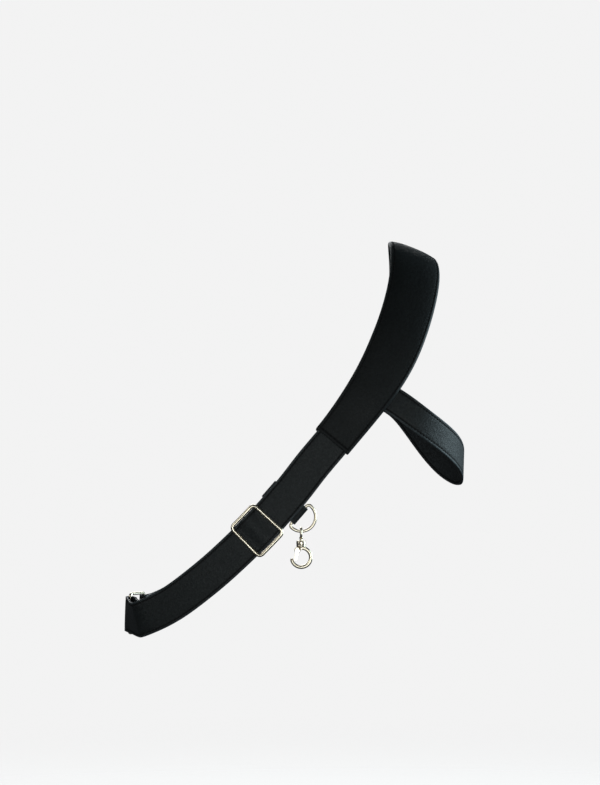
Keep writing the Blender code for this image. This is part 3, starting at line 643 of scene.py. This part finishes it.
def edge_stitches(name, places, across, width, sides=(1, -1), height=1.02 * MM):
    """Rows of stitches in the grooves along both edges, on the face and on the lining."""
    out = unit(np.cross(ways(places), across))
    rows = []
    for edge in (-1, 1):
        for side in sides:
            line = places + across * edge * (width / 2 - 2.6 * MM) + out * side * height
            rows.append(stitches("row", line, out * side))
    return join(name, rows)


def round_bar(top, up, forward, radius, step=7.5):
    """Half a circle from above a bar, ahead of it and round to below it."""
    angles = np.radians(np.arange(step, 180.0, step))
    return [top - up * radius + radius * (up * math.cos(a) + forward * math.sin(a)) for a in angles]


def folded(start, bar, return_to, inner_depth):
    """A strap's middle that runs to a bar, turns round it and comes back inside."""
    place, _, across, _ = loop.frames(spread(start, bar, 3.5 * MM))
    top, ahead, side, up = loop.frame(bar)
    facing = 1.0 if bar > start else -1.0
    bend = round_bar(top, up, ahead * facing, FOLD_RADIUS)
    back = spread(bar, return_to, 2.5 * MM)
    back_place, _, back_across, back_out = loop.frames(back)
    ease = smooth_step(np.abs(back - bar) / (18 * MM))
    depth = 2.0 * FOLD_RADIUS + (inner_depth - 2.0 * FOLD_RADIUS) * ease
    back_place = back_place - back_out * depth[:, None]
    places = np.vstack([place, bend, back_place])
    return places, np.vstack([across, [side] * len(bend), back_across]) * facing


places, across = folded(pad_end - PAD_TUCK, loop.length, loop.length - RETURN_LENGTH, TAIL_DEPTH)
back_face = strap("back_strap_face_leather", places, across, STRAP_WIDTH, strap_leather, 1)
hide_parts("back_strap_face")
back_lining = strap("back_strap_lining_leather", places, across, STRAP_WIDTH, lining_suede, -1,
                    crown=0.0)
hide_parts("back_strap_lining")
back_thread = edge_stitches("back_strap_stitches", places, across, STRAP_WIDTH)
for piece in (back_face, back_lining, back_thread):
    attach(piece, "harness")

# Tail of the back strap: it is shaved thin at its end, goes round the slider's bar and
# is sewn down on itself; on the harness it slides through the hip ring as the slider
# moves, but here it is built once, where it lies at rest.
tail = spread(loop.length - RETURN_LENGTH, slider_at, 2.5 * MM)
place, _, side, out = loop.frames(tail)
from_slider = tail - slider_at
wrap = BAR_RADIUS + GAP + THIN / 2
near_bar = BAR_DEPTH - wrap
over_lap = BAR_DEPTH + wrap - THIN - 0.25 * MM
depth = near_bar + (over_lap - near_bar) * smooth_step((from_slider - 2 * MM) / (11 * MM))
depth += (TAIL_DEPTH - over_lap) * smooth_step((from_slider - LAP - 2 * MM) / (38 * MM))
thickness = THIN / (2.3 * MM)
thickness = thickness + (1.0 - thickness) * smooth_step((from_slider - LAP) / (30 * MM))
lap = spread(slider_at, slider_at + LAP, 2.5 * MM)
lap_place, _, lap_side, lap_out = loop.frames(lap)
bar_top, bar_ahead, bar_side, bar_up = loop.frame(slider_at)
bend = round_bar(bar_top - bar_up * near_bar, bar_up, -bar_ahead, wrap, 15.0)
places = np.vstack([place - out * depth[:, None], bend,
                    lap_place - lap_out * (BAR_DEPTH + wrap)])
across = -np.vstack([side, [bar_side] * len(bend), lap_side])
thickness = np.concatenate([thickness, np.full(len(places) - len(thickness), thickness[-1])])
narrowed = STRAP_WIDTH - 1.5 * MM
tail_face = strap("back_strap_tail_leather", places, across, narrowed, strap_leather, 1, thickness)
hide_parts("back_strap_tail_loop")
tail_lining = strap("back_strap_tail_lining", places, across, narrowed, lining_suede, -1, thickness)
shown = len(tail) - int(LAP / (2.5 * MM))
tail_rows = [edge_stitches("row", places[:shown], across[:shown], narrowed)]
for where in (6 * MM, LAP - 3 * MM):
    spot, _, side, up = loop.frame(slider_at + where)
    line = spot + side * np.linspace(-13.0, 13.0, 12)[:, None] * MM
    line = line - up * (BAR_DEPTH + wrap + THIN / 2 + 0.08 * MM)
    tail_rows.append(stitches("row", line, np.broadcast_to(-up, (12, 3))))
tail_thread = join("back_strap_tail_stitches", tail_rows)
still = loop.frame(slider_at + HELD_FROM_SLIDER)[0]
sliding = loop.frame(slider_at + LAP)[0]
for piece, slot in ((tail_face, "black_leather"), (tail_lining, "lining_leather"),
                    (tail_thread, "black_leather")):
    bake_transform(piece)


# Slider on the back strap.  A polished wire frame lies over the strap, and a thin bar under
# it, bent from one wire, carries the tail; the strap arches over the bar inside the frame.
SLIDER_LENGTH = 33.5 * MM
SLIDER_CORNER = 4.0 * MM
SLIDER_WIRE = 3.4 * MM
BAR_BEND = 2 * MM
HUMP_HALF = 12.6 * MM
HUMP_RISE = 2.2 * MM
HUMP_SINK = 0.22 * MM

gold = Finish("pale_gold", {"Metallic": 1.0, "Specular IOR Level": 0.5})
spot = gold.add("TexCoord", {}, {}, "Object")
smudge = gold.noise(spot, 90.0, 3.0)
polish = gold.noise(gold.scaled(spot, (420.0, 1500.0, 420.0)), 1.0, 2.0)
pits = gold.step(gold.noise(spot, 1500.0, 2.0), 0.62, 0.75)
tone = gold.mix(smudge, (0.86, 0.78, 0.64), (0.76, 0.65, 0.49))
gold.wear(gold.mix(pits * 0.35, tone, (0.42, 0.31, 0.19)),
          0.24 + smudge * 0.08 + polish * 0.03, gold.bump(polish * 0.5 + pits, 0.02, 0.0001))


def wire(name, path, normals, radius, closed=False, finish=gold, sides=20):
    """Round wire along a path, given a direction that is square to it at each point."""
    path = np.asarray(path, float)
    if closed:
        stretches = unit(np.roll(path, -1, axis=0) - path)
        way = unit(stretches + np.roll(stretches, 1, axis=0))
    else:
        way = ways(path)
    first = unit(np.cross(np.broadcast_to(normals, path.shape), way))
    second = np.cross(way, first)
    angles = np.arange(sides) * math.tau / sides
    radius = np.broadcast_to(radius, len(path))[:, None]
    rings = np.stack([path + radius * (first * math.cos(a) + second * math.sin(a))
                      for a in angles], axis=1)
    return skin(name, rings, finish, closed=closed)


def rounded_rectangle(width, height, corner, side_points=4, corner_steps=9):
    """Points of a rounded rectangle about its middle, anticlockwise."""
    points = []
    for turned, (sx, sy) in enumerate([(1, 1), (-1, 1), (-1, -1), (1, -1)]):
        for step in range(corner_steps + 1):
            angle = math.radians(90.0 * (turned + step / corner_steps))
            points.append((sx * (width / 2 - corner) + corner * math.cos(angle),
                           sy * (height / 2 - corner) + corner * math.sin(angle)))
        nx, ny = [(-1, 1), (-1, -1), (1, -1), (1, 1)][turned]
        ahead = (nx * (width / 2 - corner) + corner * math.cos(angle),
                 ny * (height / 2 - corner) + corner * math.sin(angle))
        for share in np.linspace(0.0, 1.0, side_points + 2)[1:-1]:
            points.append(tuple(a + (b - a) * share for a, b in zip(points[-1], ahead)))
    return points


half_width = (STRAP_WIDTH + SLIDER_WIRE) / 2 + GAP
inside = rounded_rectangle(SLIDER_LENGTH - SLIDER_WIRE, 2 * half_width, SLIDER_CORNER)
place, _, across, out = loop.frames([slider_at + x for x, _ in inside])
path = place + across * np.array([[y] for _, y in inside])
path = path + out * (STRAP_TOP + GAP + SLIDER_WIRE / 2)
slider_frame = wire("slider_wire_frame", path, out, SLIDER_WIRE / 2, closed=True)
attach(slider_frame, "back_slider")
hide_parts("back_slider_frame")

corner = [(math.sin(a), 1.0 - math.cos(a)) for a in np.radians(range(90, -1, -9))]
half = [(half_width, STRAP_TOP)] + [(half_width - BAR_BEND * (1.0 - x), BAR_BEND * y - BAR_DEPTH)
                                    for x, y in corner] + [(half_width / 2, -BAR_DEPTH)]
profile = half + [(-x, y) for x, y in half[::-1]]
path = [bar_top + bar_side * x + bar_up * y for x, y in profile]
slider_bar = wire("slider_bar", path, bar_ahead, BAR_RADIUS)
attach(slider_bar, "back_slider")
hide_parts("back_slider_bar")

hump = np.linspace(-HUMP_HALF, HUMP_HALF, 31)
place, _, across, out = loop.frames(slider_at + hump)
section = outline(STRAP_WIDTH + 0.4 * MM, 0.14 * MM)
rings = []
for x, middle, side, up in zip(hump, place, across, out):
    lift = HUMP_RISE * math.cos(math.pi / 2 * x / HUMP_HALF) ** 2 - HUMP_SINK
    rings.append([middle + side * v + up * ((h + lift) if h > 0.5 * MM else h + 0.4 * MM)
                  for v, h, _ in section])
arch = skin("back_strap_arch_in_slider", rings, strap_leather, section[:, 2], along=hump)
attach(arch, "back_slider")


# Front strap.  The same sewn strap goes from the pad down the chest and is folded round
# the hip ring's front side, where its end is sewn down inside.
places, across = folded(pad_start + PAD_TUCK, 0.0, 32 * MM, 2 * STRAP_TOP + GAP)
front_face = strap("front_strap_face_leather", places, across, STRAP_WIDTH, strap_leather, 1)
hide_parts("front_strap_face")
front_lining = strap("front_strap_lining_leather", places, across, STRAP_WIDTH, lining_suede, -1,
                     crown=0.0)
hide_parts("front_strap_lining")
front_rows = [edge_stitches("row", places, across, STRAP_WIDTH)]
for where in (9 * MM, 28 * MM):
    spot, _, side, up = loop.frame(where)
    line = spot + side * np.linspace(-13.5, 13.5, 12)[:, None] * MM
    front_rows.append(stitches("row", line + up * 1.38 * MM, np.broadcast_to(up, (12, 3))))
front_thread = join("front_strap_stitches", front_rows)
for piece in (front_face, front_lining, front_thread):
    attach(piece, "harness")


# Hip ring.  A rounded rectangle of the same polished wire, which both straps fold round,
# one from each side; it stands a little taller than the strap.
RING_HEIGHT = 40 * MM
RING_CORNER = 3 * MM

ends, _, _, out = loop.frames([0.0, loop.length])
front_bar, back_bar = ends - out * FOLD_RADIUS
between = back_bar - front_bar
between = between - ring_line * (between @ ring_line)
length_between = np.linalg.norm(between)
path = [(front_bar + back_bar) / 2 + unit(between) * x + ring_line * y
        for x, y in rounded_rectangle(length_between, RING_HEIGHT - 2 * WIRE_RADIUS, RING_CORNER)]
hip_ring = wire("hip_ring_wire", path, np.cross(unit(between), ring_line), WIRE_RADIUS, closed=True)
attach(hip_ring, "harness")
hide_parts("side_ring")


# Hook keeper.  A strip of the same leather wrapped round the front strap and round the
# straight side of the D-ring, sewn through between the two.
KEEPER_HALF = 10 * MM
KEEPER_LEATHER = 1.3 * MM
BAR_REACH = 20.9 * MM
middle, ahead, side, up = loop.frame(keeper_at)
flat = 2.2 * MM
tight = 2.65 * MM
left = STRAP_WIDTH / 2 + 0.5 * MM + KEEPER_LEATHER / 2
upper = [(v * MM, flat) for v in range(-15, 17, 2)] + [(17.0 * MM, 2.05 * MM), (18.3 * MM, 2.0 * MM)]
round_end = [(BAR_REACH + tight * math.cos(a), tight * math.sin(a))
             for a in np.radians(range(100, -101, -10))]
corner_round = 1.4 * MM
far_side = [(-left + corner_round - corner_round * math.cos(a),
             flat - corner_round + corner_round * math.sin(a)) for a in np.radians(range(0, 91, 15))]
far_side = [(v, -h) for v, h in far_side[::-1]] + far_side
belt = far_side + upper + round_end + [(v, -h) for v, h in upper[::-1]]
belt = np.array([middle + side * v + up * h for v, h in belt])
stretches = unit(np.roll(belt, -1, axis=0) - belt)
way = unit(stretches + np.roll(stretches, 1, axis=0))
normal = np.cross(way, ahead)
strip = rounded_rectangle(2 * KEEPER_HALF, KEEPER_LEATHER, 0.45 * MM, 5, 3)
rings = np.stack([belt + ahead * x + normal * y for x, y in strip], axis=1)
# The keeper's cut edges are lightened: partly wear, partly a painted highlight.
wear = [0.9 if abs(x) > KEEPER_HALF - 0.8 * MM else 0.0 for x, _ in strip]
keeper = skin("hook_keeper_leather", rings, strap_leather, wear, closed=True,
              along=np.concatenate([[0.0], np.cumsum(np.linalg.norm(np.diff(belt, axis=0), axis=1))]))
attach(keeper, "keeper")
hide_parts("hook_keeper")
rows = []
for face in (1, -1):
    for v in (18.3, -15.0):
        height = (2.0 if v > 0 else 2.2) * MM + KEEPER_LEATHER / 2 + 0.1 * MM
        line = middle + side * v * MM + up * face * height
        line = line + ahead * np.linspace(-8.4, 8.4, 8)[:, None] * MM
        rows.append(stitches("row", line, np.broadcast_to(up * face, (8, 3))))
keeper_thread = join("hook_keeper_stitches", rows)
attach(keeper_thread, "keeper")


# D-ring.  Heavier wire with a straight side in the keeper and a round bow that hangs down.
D_BOW = 14 * MM
D_CORNER = 3 * MM
bar_middle = middle + side * BAR_REACH
down = np.array([0.0, 0.0, -1.0])
hang = unit(down - ahead * (ahead @ down))
straight = D_BOW - D_CORNER
points = [(x, 0.0) for x in np.linspace(-straight, straight, 7)]
points += [(straight + D_CORNER * math.sin(a), D_CORNER * (1 - math.cos(a)))
           for a in np.radians(range(15, 90, 15))]
points += [(D_BOW * math.cos(a), D_CORNER + D_BOW * math.sin(a))
           for a in np.radians(range(0, 181, 6))]
points += [(-straight - D_CORNER * math.sin(a), D_CORNER * (1 - math.cos(a)))
           for a in np.radians(range(75, 0, -15))]
d_normal = np.cross(ahead, hang)
d_ring = wire("d_ring_wire", [bar_middle + ahead * x + hang * y for x, y in points], d_normal,
              1.5 * MM, closed=True)
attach(d_ring, "d_ring")
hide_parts("hook_d_ring")


# Swivel eye.  A small cast ring on the D-ring's bow, with a headed post under it that
# turns in the top of the hook.
EYE_BOW = 4.6 * MM
EYE_WIRE = 2.4 * MM
plumb = np.array([0.0, 0.0, 1.0])
eye_centre = np.array(joints["hook_swivel"]["pos_m"])
hook_side = unit(np.cross(plumb, d_normal))
hook_normal = unit(np.cross(hook_side, plumb))


def turned(name, profile, origin, axis, finish=gold, sides=40):
    """A solid turned about an axis, from (radius, distance along the axis) points."""
    first = unit(np.cross(axis, (0.31, 0.95, 0.12)))
    second = np.cross(axis, first)
    angles = np.arange(sides) * math.tau / sides
    rings = [[origin + axis * along + max(radius, 0.01 * MM)
              * (first * math.cos(a) + second * math.sin(a)) for a in angles]
             for radius, along in profile]
    return skin(name, rings, finish)


def cast(name, shells, grid, passes):
    """Melt closed shells into one casting with small round fillets where they meet."""
    piece = join(name, shells)
    remesh = piece.modifiers.new("melt", "REMESH")
    remesh.mode = "VOXEL"
    remesh.voxel_size = grid
    mesh = bpy.data.meshes.new_from_object(piece.evaluated_get(
        bpy.context.evaluated_depsgraph_get()))
    bpy.data.objects.remove(piece)
    shell = bmesh.new()
    shell.from_mesh(mesh)
    for _ in range(passes):
        bmesh.ops.smooth_vert(shell, verts=shell.verts, factor=0.5, use_axis_x=True,
                              use_axis_y=True, use_axis_z=True)
    shell.to_mesh(mesh)
    shell.free()
    mesh.materials.clear()
    return as_piece(name, mesh, gold, 80)


circle = [(EYE_BOW * math.cos(a), EYE_BOW * math.sin(a)) for a in np.radians(range(0, 360, 9))]
eye_shells = [wire("eye_ring", [eye_centre + hook_normal * x + plumb * y for x, y in circle],
                   hook_side, EYE_WIRE / 2, closed=True)]
post = [(0.0, -3.8), (1.9, -3.8), (1.7, -5.4), (1.5, -6.2), (1.5, -9.5), (2.5, -9.7), (2.5, -10.7),
        (0.0, -10.7)]
eye_shells.append(turned("eye_post", [(r * MM, z * MM) for r, z in post], eye_centre, plumb))
swivel_eye = cast("swivel_eye_casting", eye_shells, 0.16 * MM, 6)
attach(swivel_eye, "swivel_eye")
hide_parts("hook_swivel_eye")


# Hook.  A polished casting: a round barrel that holds the post, and a bow that tapers
# to a blunt tip, with a lug for the gate's pin.
HOOK_BOW = 9.4 * MM
HOOK_WIRE = 3.6 * MM
barrel_top = eye_centre - plumb * (EYE_BOW + 2.6 * MM)
barrel = [(0.0, -6.7), (3.6, -6.7), (4.35, -6.3), (4.7, -5.6), (4.7, -4.9), (4.35, -4.7),
          (4.35, -4.2), (4.7, -4.0), (4.7, -1.3), (4.5, -0.6), (3.9, -0.1), (2.4, 0.0), (1.9, -0.2),
          (1.9, -2.0), (3.1, -2.0), (3.1, -4.2), (0.0, -4.2)]
shells = [turned("barrel", [(r * MM, z * MM) for r, z in barrel], barrel_top, plumb)]
bow_centre = barrel_top - plumb * (7.2 * MM + HOOK_BOW)
angles = np.radians(np.arange(90.0, 357.0, 4.0))
path = [bow_centre + hook_side * HOOK_BOW * math.cos(a) + plumb * HOOK_BOW * math.sin(a)
        for a in angles]
travel = (angles - angles[0]) / (angles[-1] - angles[0])
thick = HOOK_WIRE / 2 * (1.0 + 0.10 * np.sin(math.pi * travel) - 0.10 * travel)
thick[-3:] *= (0.96, 0.84, 0.55)
shells.append(wire("bow", path, hook_normal, thick))
hinge = np.array(joints["gate_opening"]["pos_m"])
lug = [(0.0, -0.7), (3.0, -0.7), (3.0, 0.7), (0.0, 0.7)]
shells.append(turned("lug", [(r * MM, z * MM) for r, z in lug], hinge, hook_normal))
neck = [(0.0, 1.5), (1.9, 1.5), (1.9, -2.0), (0.0, -2.0)]
neck_at = barrel_top - plumb * 7.2 * MM
shells.append(turned("neck", [(r * MM, z * MM) for r, z in neck], neck_at, plumb))
hook = cast("hook_casting", shells, 0.2 * MM, 8)
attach(hook, "hook")
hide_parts("hook_body")


# Gate, its pin and its spring.  They are already the right shape, so they keep their
# packed forms; the gate and the pin get softened edges, and all three their own finishes.
steel = Finish("spring_steel", {"Metallic": 1.0})
spot = steel.add("TexCoord", {}, {}, "Object")
drawn = steel.noise(steel.scaled(spot, (2500.0, 2500.0, 600.0)), 1.0, 2.0)
steel.wear(steel.mix(drawn, (0.48, 0.48, 0.50), (0.62, 0.62, 0.62)), 0.22 + drawn * 0.16,
           steel.bump(drawn, 0.1, 0.00005))
for node, finish, width in (("hook_gate", gold, 0.28 * MM), ("hook_gate_pin", gold, 0.15 * MM),
                            ("hook_gate_spring", steel, 0.0)):
    part = frame["nodes"][node]
    part.data.materials.clear()
    part.data.materials.append(finish.material)
    weld = part.modifiers.new("weld", "WELD")
    weld.merge_threshold = 0.002 * MM
    if width:
        soften = part.modifiers.new("soften", "BEVEL")
        soften.width = width
        soften.segments = 3
        soften.limit_method = "ANGLE"
        soften.angle_limit = math.radians(35)


# Under-arm strap.  A narrower strap of the same make, sewn in between the pad's cover and
# lining behind the shoulder and in front of it, and passed under the arm.
UNDERARM_WIDTH = 25 * MM
UNDERARM = [
    ((3.5, -89.5, -152.5), (0.25, -0.96, 0.05)),
    ((19.0, -81.0, -164.0), (0.42, -0.90, 0.02)),
    ((34.5, -64.0, -176.5), (0.66, -0.75, 0.0)),
    ((45.5, -33.0, -190.0), (0.92, -0.38, 0.0)),
    ((48.0, 0.0, -200.0), (1.0, 0.0, 0.0)),
    ((44.0, 32.0, -204.0), (0.90, 0.42, 0.0)),
    ((33.0, 57.0, -196.0), (0.66, 0.75, 0.0)),
    ((20.0, 74.0, -179.5), (0.42, 0.90, 0.02)),
    ((5.5, 84.5, -158.5), (0.25, 0.96, 0.05)),
]
sewn_at = [loop.nearest(joint) for joint in ((-38.5, -91.0, -123.5), (-34.0, 89.0, -125.0))]
edge = pad_width(min(sewn_at[1] - pad_start, pad_end - sewn_at[0])) / 2
sunk = -1.25 * MM
ends = []
for where in sewn_at:
    spot, _, side, up = loop.frame(where)
    ends.append([((spot + side * reach + up * sunk) / MM, up)
                 for reach in (0.67 * edge, edge, edge + 6 * MM)])
under_arm = Route(ends[0] + UNDERARM + ends[1][::-1])
hidden = 0.15 * edge
place, _, side, _ = under_arm.frames(spread(hidden, under_arm.length - hidden, 3 * MM))
under_face = strap("underarm_strap_face_leather", place, side, UNDERARM_WIDTH, strap_leather, 1)
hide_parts("underarm_strap_face")
under_lining = strap("underarm_strap_lining_leather", place, side, UNDERARM_WIDTH, lining_suede, -1,
                     crown=0.0)
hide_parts("underarm_strap_lining")
under_thread = edge_stitches("underarm_strap_stitches", place, side, UNDERARM_WIDTH)
for piece in (under_face, under_lining, under_thread):
    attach(piece, "harness")
